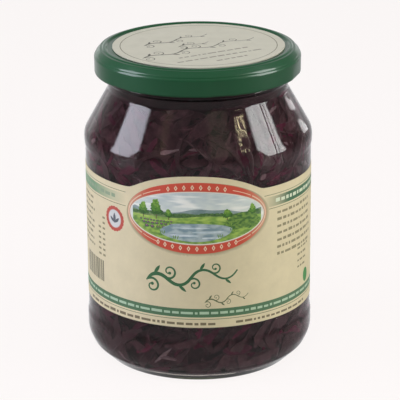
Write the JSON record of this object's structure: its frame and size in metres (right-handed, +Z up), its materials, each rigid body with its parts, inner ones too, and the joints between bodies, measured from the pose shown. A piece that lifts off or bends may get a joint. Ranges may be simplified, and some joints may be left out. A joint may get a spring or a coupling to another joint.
{
  "type": "jar of pickled red cabbage",
  "caption": "Shut round glass jar of shredded pickled red cabbage, with a green twist-off lid, a round lid label and a wrap-round paper label with an arched top edge.",
  "frame": {"origin": "centre of the foot, on the surface that the jar stands on", "axes": "+Z up along the jar's axis, -Y towards the front of the label"},
  "size_m": [0.0952, 0.0952, 0.1332],
  "materials": {
    "glass": "clear, faintly green flint glass",
    "lid_lacquer": "dark green gloss lacquer on tinplate",
    "lid_paper": "matt greyish cream paper",
    "label_paper": "matt cream printed paper",
    "cabbage": "wet dark purple shreds"
  },
  "bodies": {
    "root": {"glass_jar": "glass", "lid": "lid_lacquer", "lid_label": "lid_paper", "label": "label_paper", "red_cabbage": "cabbage"}
  },
  "joints": []
}
